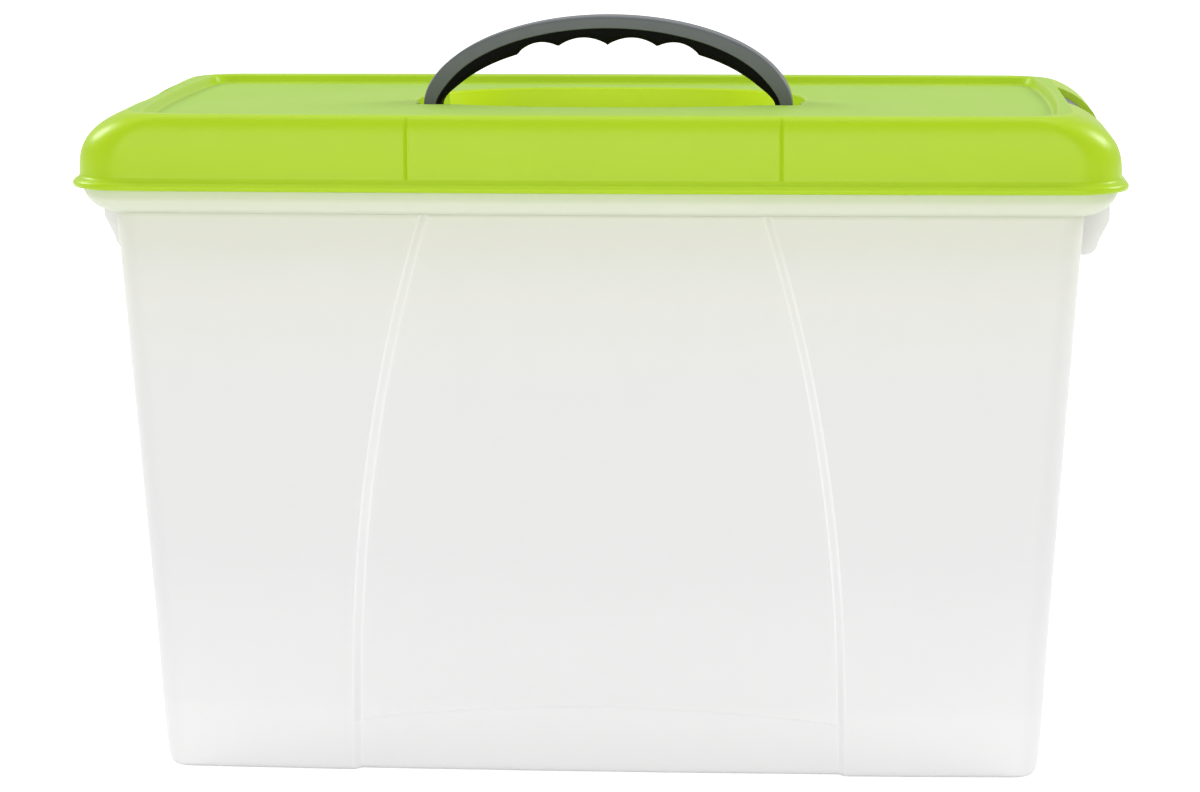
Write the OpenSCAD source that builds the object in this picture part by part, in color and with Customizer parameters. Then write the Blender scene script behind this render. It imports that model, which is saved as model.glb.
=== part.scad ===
// Portable file box: a translucent tub with two hanging-file rails, a coloured lift-off lid,
// a folding carry handle with a soft grip, and a rocker latch at each short end.
// Millimetres, +Z up, +X to the right along the long side, +Y to the back.
// The origin is the centre of the base.

/* [Tub] */
// Outer width of the tub at its base
tub_w = 364.4; // [330:0.2:430]
// Outer depth of the tub at its base
tub_d = 161.8; // [150:0.2:200]
// Height of the tub walls up to the underside of the rim
wall_h = 236; // [200:1:280]
// Draft of the two end walls, in degrees
end_draft = 3.4; // [2:0.1:4]
// Draft of the front and back walls, in degrees
side_draft = 3.6; // [2:0.1:4]
// Thickness of the tub walls
wall_t = 2.2; // [1.6:0.1:3]
// Thickness of the tub floor
floor_t = 2.4; // [1.8:0.1:4]
// Outer corner radius of the tub, seen from above
tub_corner_r = 11; // [8:0.5:16]
// Outer radius of the edge round the base
base_edge_r = 3; // [2:0.5:4]
// How far the long walls bulge at their middle
bow = 3.5; // [0:0.5:6]

/* [Front and back panels] */
// Depth by which the centre panel is set back
panel_depth = 3.6; // [1:0.2:5]
// Half width of the centre panel at the base
panel_half_base = 101; // [85:1:120]
// Half width of the centre panel at the rim
panel_half_top = 69; // [55:1:80]
// Width of the sloping step at each edge of the panel
panel_step_w = 4; // [2:0.5:6]

/* [Rim] */
// Height of the rim above the tub walls
rim_h = 11.7; // [10:0.1:14]
// How far the rim flares past the end walls
rim_end_flare = 13.7; // [13:0.1:15]
// How far the rim flares past the front and back walls
rim_side_flare = 7.6; // [4:0.1:9]
// Thickness of the rim
rim_t = 2; // [1.6:0.1:2.6]

/* [Hanging rails] */
// Thickness of the upstanding rail at each end
rail_t = 2; // [1.5:0.1:3]
// Length of each rail
rail_len = 152; // [120:1:156]

/* [Lid] */
// Thickness of the lid
lid_t = 2; // [1.6:0.1:2.6]
// Gap all round between the rim and the lid's lip
lid_gap = 0.5; // [0.3:0.1:0.8]
// Gap between the top of the rim and the ledge in the lid
lid_seat_gap = 0.3; // [0.2:0.1:0.6]
// How far the lid's lip hangs down over the rim
lip_drop = 1.6; // [1:0.1:3]
// Height of the rounded bead along the lip
bead_h = 3.9; // [3:0.1:5]
// How far the bead stands out past the skirt
bead_out = 2.8; // [1.6:0.1:3.4]
// How far the lid's ledge reaches in from the lip, over the rim
ledge_w = 1.4; // [1:0.1:1.8]
// Height of the lid's border above the rim
lid_h = 29; // [24:1:36]
// How far the sloping shoulder runs in from the two ends
shoulder_end = 19.5; // [17:0.5:21]
// How far the rounded shoulder runs in from the front and back
shoulder_side = 6.7; // [5:0.1:10]
// Outer corner radius of the lid's skirt, seen from above
lid_corner_r = 21; // [17:0.5:26]
// Depth of the sunk top panel below the border
panel_drop = 3.8; // [2.5:0.1:5]
// Width of the flat top of the border at the front and back
border_side = 6.6; // [4:0.2:9]
// Width of the flat top of the border at the two ends
border_end = 3.2; // [2.4:0.2:5]
// How far the corners of the sunk panel lie in from the middle of its two ends
panel_bow = 4; // [0:0.5:5]
// Distance of each upright crease in the lid's long sides from the middle
crease_x = 75; // [65:1:85]
// Width of the creases
crease_w = 1.8; // [1:0.2:3]
// Depth of the creases
crease_depth = 0.7; // [0.3:0.1:1]

/* [Hand recess] */
// Half width of the recess in the lid panel
dish_half_w = 83; // [82.6:0.2:90]
// How far the recess runs back from its widest line
dish_back = 61; // [55:1:64]
// How far the recess runs forward from its widest line
dish_front = 34; // [30:1:40]
// Gap between each leg of the handle and the end of the recess
leg_gap = 3; // [2.4:0.1:3.4]
// Gap in front of each leg of the handle
foot_gap = 2.4; // [2:0.1:3]
// Distance of the widest line behind the middle of the lid
dish_mid_y = 12; // [8:1:14]
// Depth of the recess below the lid panel
dish_depth = 16.2; // [15.8:0.2:17]

/* [Handle] */
// Half span of the arch, to its outer face
arch_half_span = 78.3; // [74:0.1:79]
// Rise of the arch above the top of its legs
arch_rise = 38.4; // [30:0.2:44]
// Thickness of the hard strap at the crown
strap_t_crown = 5.1; // [4.6:0.1:7]
// Thickness of the hard strap at the legs
strap_t_leg = 5.2; // [4.4:0.1:6]
// Width of the strap
strap_w = 16; // [13:0.5:16]
// Height of the hinge axis above the floor of the recess
hinge_rise = 9; // [8.6:0.1:9.4]
// Height of the straight part of each leg above the hinge axis
leg_rise = 5.8; // [4:0.2:8]
// Thickness of the soft grip at its crown
grip_t = 7.2; // [5:0.2:9]
// Thickness of the soft grip along the legs
grip_leg_t = 4.85; // [3.5:0.05:6]
// Thickness of the soft grip at the bottom of its middle grooves
groove_t = 4.2; // [2.6:0.2:5]
// Thickness of the soft grip at its thin ends
grip_tail_t = 2.1; // [1.2:0.1:3]
// Width of each of the two inner finger grooves
finger_pitch = 22.6; // [19:0.2:25]
// Width of each of the two outer finger grooves
outer_pitch = 19.2; // [17:0.2:23]
// Width of the soft grip
grip_w = 14.6; // [11:0.2:15]

/* [Hinge pins] */
// Radius of the two handle pins
handle_pin_r = 2.5; // [2:0.1:3]
// Radius of the head of each handle pin
handle_head_r = 4; // [3.4:0.1:5]
// Thickness of the head of each handle pin
handle_head_t = 1.4; // [1:0.1:2]
// Length of each handle pin inside its boss
handle_pin_hold = 8; // [6:0.5:10]
// Radius of the two latch pins
latch_pin_r = 1.5; // [1.2:0.1:1.8]
// Gap under the head of each handle pin
head_gap = 0.3; // [0.2:0.1:0.5]
// Clearance of a running pin, on the radius
pin_gap = 0.06; // [0.04:0.01:0.09]

/* [Latches] */
// Width of the notch in the lid over each latch
notch_w = 76; // [70:1:90]
// Distance from the flat top of the lid to the inner edge of the notch
notch_start = 0.3; // [0.2:0.1:1.5]
// Distance from the end of the lid to the axis on which the latch rocks
pivot_in = 8.9; // [8.7:0.1:9.2]
// Height of the notch above the lid's ledge
notch_sill = 13.5; // [12.5:0.1:14]
// Gap between the latch pad and each side of its notch
pad_gap = 0.8; // [0.5:0.1:1.5]
// Gap below the latch pad, which it closes as it is pressed
press_gap = 1.6; // [1.4:0.1:2]
// How far the pad lies below the lid's surface
pad_sink = 3; // [2.4:0.1:3.4]
// Thickness of the latch pad
pad_t = 2.2; // [1.8:0.1:2.6]
// Width of the hook arm
arm_w = 40; // [30:1:50]
// Thickness of the hook arm
arm_t = 2; // [1.6:0.1:2.2]
// How far the barb of the hook stands out from its arm
barb = 1.8; // [1.4:0.1:2]
// Height of the barb
barb_h = 3; // [2.4:0.1:4]
// Gap between the barb and the ledge it catches under
hook_gap = 0.4; // [0.3:0.1:0.6]

/* [Catch pockets] */
// Width of the pocket on each end wall
pocket_w = 84; // [60:1:90]
// Depth of the pocket below the rim
pocket_drop = 21.8; // [19:0.1:24]
// Thickness of the pocket's walls
pocket_t = 1.8; // [1.4:0.1:2.4]

/* [Hidden] */
$fn = 48;

// Colours
lime = [0.62, 0.84, 0.16];
milk = [0.92, 0.93, 0.91, 0.6];
grey = [0.44, 0.47, 0.48];
black = [0.06, 0.06, 0.05];
nylon = [0.80, 0.80, 0.78];

// Levels
rim_z = wall_h + rim_h;
ledge_z = rim_z + lid_seat_gap;
lip_z = rim_z - lip_drop;
crest_z = rim_z + lid_h;
panel_z = crest_z - panel_drop;
dish_z = panel_z - dish_depth;
hinge_z = dish_z + hinge_rise;
arch_z = hinge_z + leg_rise;

// Half sizes of the tub's wall at height z, and of its rim
function wall_half_w(z) = tub_w / 2 + z * tan(end_draft);
function wall_half_d(z) = tub_d / 2 + z * tan(side_draft);
rim_half_w = wall_half_w(wall_h) + rim_end_flare;
rim_half_d = wall_half_d(wall_h) + rim_side_flare;

// Half sizes of the lid's lip inside, of its skirt just above the bead, and of its crest
lip_half_w = rim_half_w + lid_gap;
lip_half_d = rim_half_d + lid_gap;
skirt_half_w = lip_half_w - ledge_w + lid_t;
skirt_half_d = lip_half_d - ledge_w + lid_t;
skirt_z = lip_z + bead_h + 1.5;
crest_half_w = skirt_half_w - shoulder_end;
crest_half_d = skirt_half_d - shoulder_side;
slot_half = arch_half_span + leg_gap;
rim_corner_r = lid_corner_r - lid_t + ledge_w - lid_gap;

// Latch, worked out at the right end
hub_r = latch_pin_r + 1.5;
notch_x = crest_half_w + notch_start;
sill_z = ledge_z + notch_sill;
pivot_x = skirt_half_w - pivot_in;
pivot_z = sill_z + 2.5;
rib_t = 2.5;
arm_x = pivot_x + 1.2;
arm_out = arm_x + arm_t;

// Catch pocket, worked out at the right end. Its outer wall leans out from a rounded lower edge.
wall_top = wall_half_w(wall_h);
pocket_out = wall_top + rim_end_flare - 0.3;
pocket_z = wall_h - pocket_drop;
pocket_lean = 1.8;
pocket_lean_h = 14.5;
pocket_edge_r = 5.5;
pocket_x0 = wall_half_w(pocket_z) - wall_t / 4;
pocket_top_angle = 75; // where the pocket's wall meets the flare of the rim
slot_w = arm_w + 3;
catch_x = arm_out + 0.5;
catch_z = wall_h - 1.1;
catch_t = 2.2;
barb_z = catch_z - hook_gap;

// ---------------------------------------------------------------- helpers

// Joins closed rings of equal length into one solid, capped at both ends. Each ring runs
// counterclockwise, seen from the next one.
module loft(rings) {
    n = len(rings[0]);
    last = len(rings) - 1;
    sides = [for (i = [0 : last - 1], j = [0 : n - 1])
        let (k = (j + 1) % n)
        [(i + 1) * n + j, (i + 1) * n + k, i * n + k, i * n + j]];
    start_cap = [for (j = [0 : n - 1]) j];
    end_cap = [for (j = [n - 1 : -1 : 0]) last * n + j];
    polyhedron(
        points = [for (ring = rings, p = ring) p],
        faces = concat([start_cap], sides, [end_cap]),
        convexity = 8
    );
}

// Adds the back right quarter to the front right quarter of a ring, whose side ends at half width hw
function half_ring(front, hw) = concat(
    [for (p = front) [p[0], -p[1]]],
    [[hw, 0]],
    [for (i = [len(front) - 1 : -1 : 0]) front[i]]
);

// Mirrors half a ring, which runs from the front middle to the back middle, into a whole ring
function whole_ring(half, z) = concat(
    [for (p = half) [p[0], p[1], z]],
    [for (i = [len(half) - 2 : -1 : 1]) [-half[i][0], half[i][1], z]]
);

// Evenly spaced values from a to b, with b left out
function steps(a, b, n) = [for (i = [0 : n - 1]) a + (b - a) * i / n];

// The same list without its first value
function rest(list) = [for (i = [1 : len(list) - 1]) list[i]];

// Quarter arc of radius r round a corner that starts at x, y
function corner(x, y, r, n) =
    [for (a = steps(0, 90, n)) [x + r * sin(a), y - r * (1 - cos(a))]];

// Lays an outline drawn in x and z across the part, width wide in y
module across(width) {
    translate([0, width / 2, 0])
        rotate([90, 0, 0])
            linear_extrude(width)
                children();
}

// The same thing at the right end and, mirrored, at the left end
module both_ends() {
    children();
    mirror([1, 0, 0])
        children();
}

// ---------------------------------------------------------------- tub

panel_curve = 2.35; // how the panel's edge bends in towards the rim
step_shape = [[-0.5, 1], [-0.25, 0.85], [0.25, 0.15], [0.5, 0]]; // place and depth across the step
wall_levels = [3.2, 30, 70, 110, 145, 175, 200, 220];
rim_angles = [8, 24, 40, 56, 72, 90];

function panel_half(z) =
    panel_half_base - (panel_half_base - panel_half_top) * pow(min(z / wall_h, 1), panel_curve);

// Half ring of the tub: half width hw, half depth hd at the middle, corner radius r, edge of
// the panel at c, panel set back by depth
function tub_half(hw, hd, r, c, depth) =
    let (
        bulge = function(x) hd - bow * pow(x / hw, 2),
        side_y = bulge(hw - r),
        front = concat(
            [for (x = steps(0, c - panel_step_w / 2, 4)) [x, bulge(x) - depth]],
            [for (s = step_shape) let (x = c + s[0] * panel_step_w) [x, bulge(x) - depth * s[1]]],
            [for (x = rest(steps(c + panel_step_w / 2, hw - r, 4))) [x, bulge(x)]],
            corner(hw - r, side_y, r, 5),
            [[hw, side_y - r], [hw, (side_y - r) / 2]]
        )
    )
    half_ring(front, hw);

// Ring of the tub's wall as it is at height z, moved in by inset and placed at height at_z
function wall_ring(z, inset, at_z) = whole_ring(
    tub_half(
        wall_half_w(z) - inset, wall_half_d(z) - inset, max(tub_corner_r - inset, 2),
        panel_half(z), panel_depth
    ),
    at_z
);

// Ring of the flaring rim: t runs from 0 at the wall to 90 at the top, and inset is 0 outside
// and the rim's thickness inside
function rim_ring(t, inset) = whole_ring(
    tub_half(
        wall_top + rim_end_flare * sin(t) - inset,
        wall_half_d(wall_h) + rim_side_flare * sin(t) - inset,
        tub_corner_r + (rim_corner_r - tub_corner_r) * sin(t) - inset,
        panel_half_top, 0
    ),
    wall_h + inset + (rim_h - inset) * (1 - cos(t))
);

module tub_shell() {
    inner_levels = [for (i = [len(wall_levels) - 1 : -1 : 1]) wall_levels[i]];
    loft(concat(
        [for (a = [0, 45]) wall_ring(0, base_edge_r * (1 - sin(a)), base_edge_r * (1 - cos(a)))],
        [for (z = concat(wall_levels, [wall_h])) wall_ring(z, 0, z)],
        [for (t = rim_angles) rim_ring(t, 0)],
        [for (i = [len(rim_angles) - 1 : -1 : 0]) rim_ring(rim_angles[i], rim_t)],
        [for (z = concat([wall_h], inner_levels)) wall_ring(z, wall_t, z)],
        [for (a = [90, 45, 0]) wall_ring(
            floor_t, wall_t + base_edge_r * (1 - sin(a)), floor_t + base_edge_r * (1 - cos(a)))]
    ));
}

// Middle of the rim's thickness at its end, x and z
function rim_middle(t) = [
    wall_top + rim_end_flare * sin(t) - rim_t / 2,
    wall_h + rim_t / 2 + (rim_h - rim_t / 2) * (1 - cos(t))
];

// Floor and outer wall of the pocket under the right end of the rim, seen from the front and
// moved in by inset
function pocket_wall(inset) =
    let (
        r = pocket_edge_r - inset,
        edge = [pocket_out - pocket_lean - pocket_edge_r, pocket_z + pocket_edge_r]
    )
    concat(
        [[pocket_x0, pocket_z + inset]],
        [for (a = [0 : 30 : 90]) edge + r * [sin(a), -cos(a)]],
        [[pocket_out - inset, pocket_z + pocket_lean_h]]
    );

module catch_pocket() {
    difference() {
        across(pocket_w)
            polygon(concat(
                pocket_wall(0),
                [[pocket_out, rim_middle(pocket_top_angle)[1]]],
                [for (t = [pocket_top_angle : -15 : 0]) rim_middle(t)]
            ));
        across(pocket_w - 2 * pocket_t)
            polygon(concat(
                pocket_wall(pocket_t), [[pocket_out - pocket_t, rim_z], [pocket_x0, rim_z]]
            ));
    }
    translate([catch_x, -slot_w / 2, catch_z])
        cube([pocket_out - pocket_t / 2 - catch_x, slot_w, catch_t]);
}

// Slot in the floor of the rim, which lets the hook into the pocket
module hook_slot() {
    x0 = wall_top + 1.2;
    translate([x0, -slot_w / 2, wall_h - 2])
        cube([arm_out + 1 - x0, slot_w, rim_h]);
}

module hanging_rail() {
    translate([wall_top - wall_t, -rail_len / 2, wall_h])
        cube([rail_t, rail_len, rim_h]);
}

module tub() {
    color(milk) {
        difference() {
            tub_shell();
            both_ends() hook_slot();
        }
        both_ends() catch_pocket();
        both_ends() hanging_rail();
    }
}

// ---------------------------------------------------------------- lid

end_curve_out = 1.2; // roundness of the two ends' shoulder towards the top of the lid
end_curve_up = 2.8; // roundness of the two ends' shoulder towards the skirt
side_curve = 3.5; // roundness of the shoulder at the front and back
dish_back_curve = 2.8; // roundness of the back of the hand recess, seen from above
dish_front_curve = 2.1; // roundness of its front
slot_curve = 30; // roundness of the corners in front of the handle's legs
shoulder_rise = crest_z - skirt_z;
crest_corner_r = 20; // corner radius of the lid's top, seen from above
border_r = 8; // corner radius of the sunk panel
bow_start = crease_x + 15; // where the bow of the ends begins to move the points of a ring
slot_depth = dish_mid_y + strap_w / 2 + foot_gap;

// Places of the points along the ends: slot_share lies in line with the corners of the recess
// in front of the handle's legs
slot_share = (slot_depth * (crest_half_w - border_end) / slot_half - dish_mid_y)
    / (crest_half_d - border_side - border_r);
end_shares = [
    1, 0.84, 0.7, slot_share + 0.09, slot_share + 0.03, slot_share, slot_share - 0.03,
    slot_share * 0.8, slot_share * 0.4
];

// How far in a quarter superellipse of size 1 and roundness n lies at height s
function reach(s, n) = pow(max(1 - pow(s, n), 0), 1 / n);

// Height of the end shoulder at an angle up from the skirt, and how far out it lies there
function rise(angle) = pow(sin(angle), 2 / end_curve_up);
function end_reach(angle) = pow(abs(cos(angle)), 2 / end_curve_out);

// Half ring of the lid: half width hw, half depth hd at the middle, corner radius r, creases
// of the given depth, long sides that bulge by b, and ends that bulge by e
function lid_half(hw, hd, r, crease, b, e = 0) =
    let (
        bulge = function(x) hd - b * pow(x / hw, 2),
        side_y = bulge(hw - r),
        bowed = function(p)
            [p[0] - e * pow(p[1] / hd, 2) * max(p[0] - bow_start, 0) / (hw - bow_start), p[1]],
        front = concat(
            [for (x = steps(0, crease_x - crease_w / 2, 4)) [x, bulge(x)]],
            [for (s = [-1, 0, 1])
                let (x = crease_x + s * crease_w / 2)
                [x, bulge(x) - (1 - abs(s)) * crease]],
            [for (x = rest(steps(crease_x + crease_w / 2, hw - r, 4))) [x, bulge(x)]],
            corner(hw - r, side_y, r, 6),
            [for (share = end_shares) [hw, (side_y - r) * share]]
        )
    )
    half_ring([for (p = front) bowed(p)], hw);

function lid_ring(hw, hd, r, crease, b, e, z) = whole_ring(lid_half(hw, hd, r, crease, b, e), z);

// Ring of the shoulder at an angle up from the skirt, moved in by inset
function shoulder_ring(angle, inset) =
    let (s = rise(angle))
    lid_ring(
        crest_half_w + (shoulder_end - inset) * end_reach(angle),
        crest_half_d + (shoulder_side - inset) * reach(s, side_curve),
        lid_corner_r + (crest_corner_r - lid_corner_r) * s - inset,
        inset > 0 || angle >= 80 ? 0 : crease_depth,
        bow * (1 - 0.35 * s),
        0,
        skirt_z + (shoulder_rise - inset) * s
    );

function bead_ring(out, up) = lid_ring(
    skirt_half_w + out, skirt_half_d + out, lid_corner_r + out, 0, bow, 0, lip_z + up
);

function border_ring(in, z) = lid_ring(
    crest_half_w - border_end - in, crest_half_d - border_side - in, border_r - in, 0,
    bow * 0.2, panel_bow, z
);

// Ring of the hand recess, moved in by inset: each point lies in the direction of the same
// point of the panel's edge, on the recess or on the slot for the legs, whichever is further out
function dish_ring(inset, z) = whole_ring(
    [for (p = lid_half(crest_half_w - border_end, crest_half_d - border_side, border_r, 0, 0))
        let (
            a = p[0] < 0.01 ? (p[1] < 0 ? -90 : 90) : atan2(p[1] - dish_mid_y, p[0]),
            depth = (a < 0 ? dish_front : dish_back) - inset,
            curve = a < 0 ? dish_front_curve : dish_back_curve,
            slot_d = slot_depth - inset,
            r = max(
                pow(pow(abs(cos(a)) / (dish_half_w - inset), curve)
                    + pow(abs(sin(a)) / depth, curve), -1 / curve),
                pow(pow(abs(cos(a)) / (slot_half - inset), slot_curve)
                    + pow(abs(sin(a)) / slot_d, slot_curve), -1 / slot_curve)
            )
        )
        [r * cos(a), dish_mid_y + r * sin(a)]],
    z
);

shoulder_angles = [0, 14, 26, 38, 50, 62, 72, 81, 90];

module lid_shell() {
    low_z = panel_z - lid_t;
    loft(concat(
        [dish_ring(2.6, dish_z - lid_t), dish_ring(0.2, dish_z - lid_t + 0.7)],
        [dish_ring(-0.7, dish_z + 2), dish_ring(-1.9, low_z - 1), dish_ring(-3, low_z)],
        [border_ring(-lid_t, low_z), border_ring(-lid_t, crest_z - lid_t)],
        [for (i = [len(shoulder_angles) - 1 : -1 : 0]) shoulder_ring(shoulder_angles[i], lid_t)],
        [bead_ring(-lid_t, ledge_z - lip_z), bead_ring(ledge_w - lid_t, ledge_z - lip_z)],
        [bead_ring(ledge_w - lid_t, 0), bead_ring(bead_out * 0.7, 0)],
        [bead_ring(bead_out * 0.95, bead_h * 0.18), bead_ring(bead_out, bead_h * 0.42)],
        [bead_ring(bead_out * 0.8, bead_h * 0.7), bead_ring(bead_out * 0.3, bead_h * 0.95)],
        [for (angle = shoulder_angles) shoulder_ring(angle, 0)],
        [border_ring(0, crest_z), border_ring(0.7, crest_z - 0.5)],
        [border_ring(1.5, panel_z + 0.5), border_ring(2.4, panel_z)],
        [dish_ring(-1, panel_z), dish_ring(0, panel_z - 0.7), dish_ring(1.3, dish_z + 2.6)],
        [dish_ring(2.1, dish_z + 0.7), dish_ring(4, dish_z)]
    ));
}

// Point of the end shoulder at an angle up from the skirt, sunk below the surface: x and z
function shoulder(angle, sink) = [
    crest_half_w + (shoulder_end - sink) * end_reach(angle),
    skirt_z + (shoulder_rise - sink) * rise(angle)
];

// Wall at each side of the notch, which also holds one end of the latch pin
module notch_rib() {
    low = ledge_z + 11;
    inner = notch_x - 3;
    across(rib_t)
        polygon(concat(
            [[inner, low], shoulder(18, 1) - [0.6, 0.6]],
            [for (angle = [20 : 8 : 84]) shoulder(angle, 1)],
            [[inner, crest_z - lid_t / 2]]
        ));
}

module notch_walls() {
    for (side = [-1, 1])
        translate([0, side * (notch_w + rib_t) / 2, 0])
            notch_rib();
    translate([notch_x - 2.6, -notch_w / 2 - rib_t, ledge_z + 12])
        cube([1.8, notch_w + 2 * rib_t, crest_z - lid_t / 2 - ledge_z - 12.6]);
}

module notch() {
    translate([notch_x, -notch_w / 2, sill_z])
        cube([shoulder_end, notch_w, lid_h]);
}

// Boss under the panel that holds a handle pin
module pin_boss() {
    r = handle_pin_r + 4;
    translate([slot_half + 0.1, -r, hinge_z - r])
        cube([handle_pin_hold + 2, 2 * r, panel_z - lid_t / 2 - hinge_z + r]);
}

module lid() {
    color(lime)
        difference() {
            union() {
                lid_shell();
                both_ends() {
                    notch_walls();
                    pin_boss();
                }
            }
            both_ends() {
                notch();
                bar_x(slot_half - 5, slot_half + handle_pin_hold, handle_pin_r);
                bar_y(notch_w + 2 * rib_t + 2, latch_pin_r);
            }
        }
}

// Round bar along the handle's hinge axis
module bar_x(from, to, r) {
    translate([from, 0, hinge_z])
        rotate([0, 90, 0])
            cylinder(h = to - from, r = r);
}

// Round bar along the right latch's hinge axis
module bar_y(length, r) {
    translate([pivot_x, length / 2, pivot_z])
        rotate([90, 0, 0])
            cylinder(h = length, r = r);
}

// ---------------------------------------------------------------- handle

// Across the strap, from the inner front edge over the crown to the inner back edge: share of
// its half width, share of its thickness
strap_section = [
    [-1, 1], [-1, 0.35], [-0.93, 0.14], [-0.72, 0.03], [0, 0],
    [0.72, 0.03], [0.93, 0.14], [1, 0.35], [1, 1]
];
// Across the grip, in the same way
grip_section = [[-0.78, 1], [-1, 0.68], [-1, 0], [1, 0], [1, 0.68], [0.78, 1]];
arch_angles = [for (a = [0 : 2.5 : 180]) a];

// Point of the arch at an angle, sunk below its outer face: x and z
function arch(angle, sink) =
    let (
        n = [arch_rise * cos(angle), arch_half_span * sin(angle)],
        unit = n / norm(n)
    )
    [arch_half_span * cos(angle), arch_z + arch_rise * sin(angle)] - sink * unit;

function strap_t(angle) = strap_t_leg + (strap_t_crown - strap_t_leg) * sin(angle);

// Thickness of the grip: fullest at the crown, thin at the ends, less the four finger grooves
function grip_depth(angle) =
    let (
        x = abs(arch_half_span * cos(angle)),
        share = x / arch_half_span,
        inner = x < finger_pitch,
        across = inner ? x / finger_pitch : (x - finger_pitch) / outer_pitch,
        groove = across < 1 ? pow(abs(sin(180 * across)), 0.8) : 0
    )
    grip_tail_t + (grip_leg_t - grip_tail_t) * (1 - pow(share, 10))
        + (grip_t - grip_leg_t) * pow(max(1 - share, 0), 1.5) - (grip_t - groove_t) * groove;

function strap_ring(angle) = [
    for (s = strap_section)
        let (p = arch(angle, s[1] * strap_t(angle)))
        [p[0], s[0] * strap_w / 2, p[1]]
];

function leg_ring(side) = [
    for (s = strap_section)
        [side * (arch_half_span - s[1] * strap_t_leg), s[0] * strap_w / 2, hinge_z]
];

module handle_frame() {
    color(grey)
        difference() {
            union() {
                loft(concat([leg_ring(1)], [for (a = arch_angles) strap_ring(a)], [leg_ring(-1)]));
                both_ends()
                    bar_x(arch_half_span - strap_t_leg, arch_half_span, strap_w / 2);
            }
            both_ends()
                bar_x(arch_half_span - strap_t_leg - 1, arch_half_span + 1, handle_pin_r + pin_gap);
        }
}

module handle_grip() {
    color(black)
        loft([for (a = arch_angles) [
            for (s = grip_section)
                let (p = arch(a, strap_t(a) + s[1] * grip_depth(a)))
                [p[0], s[0] * grip_w / 2, p[1]]
        ]]);
}

module handle_pin() {
    head_x = arch_half_span - strap_t_leg - head_gap;
    bar_x(head_x - handle_head_t, head_x, handle_head_r);
    bar_x(head_x - handle_head_t / 2, slot_half + handle_pin_hold, handle_pin_r);
}

module handle_pin_left() {
    color(nylon)
        mirror([1, 0, 0])
            handle_pin();
}

module handle_pin_right() {
    color(nylon)
        handle_pin();
}

// ---------------------------------------------------------------- latches

// Angle up the shoulder at which a surface sunk below it reaches height z, or place x
function angle_at_z(z, sink) = asin(pow((z - skirt_z) / (shoulder_rise - sink), end_curve_up / 2));
function angle_at_x(x, sink) =
    acos(pow(max(x - crest_half_w, 0) / (shoulder_end - sink), end_curve_out / 2));

module pad_outline() {
    low = angle_at_z(sill_z + press_gap, pad_sink);
    high = angle_at_x(notch_x + pad_gap, pad_sink);
    angles = [for (i = [0 : 6]) low + (high - low) * i / 6];
    polygon(concat(
        [for (a = angles) shoulder(a, pad_sink)],
        [for (i = [6 : -1 : 0]) shoulder(angles[i], pad_sink + pad_t)]
    ));
}

module hook_outline() {
    polygon([
        [arm_x, pivot_z], [arm_x, barb_z - barb_h], [arm_out, barb_z - barb_h],
        [arm_out + barb, barb_z - 1], [arm_out + barb, barb_z], [arm_out, barb_z], [arm_out, pivot_z]
    ]);
}

module latch() {
    hub_w = notch_w - 0.8;
    difference() {
        union() {
            across(notch_w - 2 * pad_gap) pad_outline();
            bar_y(hub_w, hub_r);
            translate([pivot_x - 1.2, -arm_w / 2, pivot_z])
                cube([3.2, arm_w, 2.6]);
            across(arm_w) hook_outline();
        }
        bar_y(notch_w, latch_pin_r + pin_gap);
    }
}

module latch_left() {
    color(grey)
        mirror([1, 0, 0])
            latch();
}

module latch_right() {
    color(grey)
        latch();
}

module latch_pin() {
    bar_y(notch_w + 2 * rib_t, latch_pin_r);
}

module latch_pin_left() {
    color(nylon)
        mirror([1, 0, 0])
            latch_pin();
}

module latch_pin_right() {
    color(nylon)
        latch_pin();
}

tub();
lid();
handle_frame();
handle_grip();
handle_pin_left();
handle_pin_right();
latch_left();
latch_right();
latch_pin_left();
latch_pin_right();
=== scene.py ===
"""Portable file box: a milky tub with a lime lid, a grey and black folding handle, and two latches.

Sizes are millimetres until a mesh is made. +X is to the right, +Y to the back, +Z up, and the
origin is the centre of the base.
"""

import math

import bpy
from mathutils import Matrix, Vector


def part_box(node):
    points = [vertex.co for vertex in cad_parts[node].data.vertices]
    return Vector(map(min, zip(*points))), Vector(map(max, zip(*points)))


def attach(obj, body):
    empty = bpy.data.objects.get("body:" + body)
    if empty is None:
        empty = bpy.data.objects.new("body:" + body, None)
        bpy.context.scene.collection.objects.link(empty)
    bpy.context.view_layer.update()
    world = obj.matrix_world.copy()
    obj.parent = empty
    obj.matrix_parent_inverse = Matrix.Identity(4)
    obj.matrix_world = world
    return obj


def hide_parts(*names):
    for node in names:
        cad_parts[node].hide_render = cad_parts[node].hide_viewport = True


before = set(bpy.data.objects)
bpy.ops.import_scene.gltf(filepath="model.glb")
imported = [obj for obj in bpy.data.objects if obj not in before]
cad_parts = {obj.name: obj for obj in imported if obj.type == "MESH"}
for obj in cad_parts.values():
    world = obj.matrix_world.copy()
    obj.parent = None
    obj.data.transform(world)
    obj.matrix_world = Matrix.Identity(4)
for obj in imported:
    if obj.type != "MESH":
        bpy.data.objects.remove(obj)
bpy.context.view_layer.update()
MM = 0.001


def highest(node):
    """Highest corner of a node of the frame, in millimetres"""
    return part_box(node)[1] / MM


# ------------------------------------------------------------------ sizes

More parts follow.
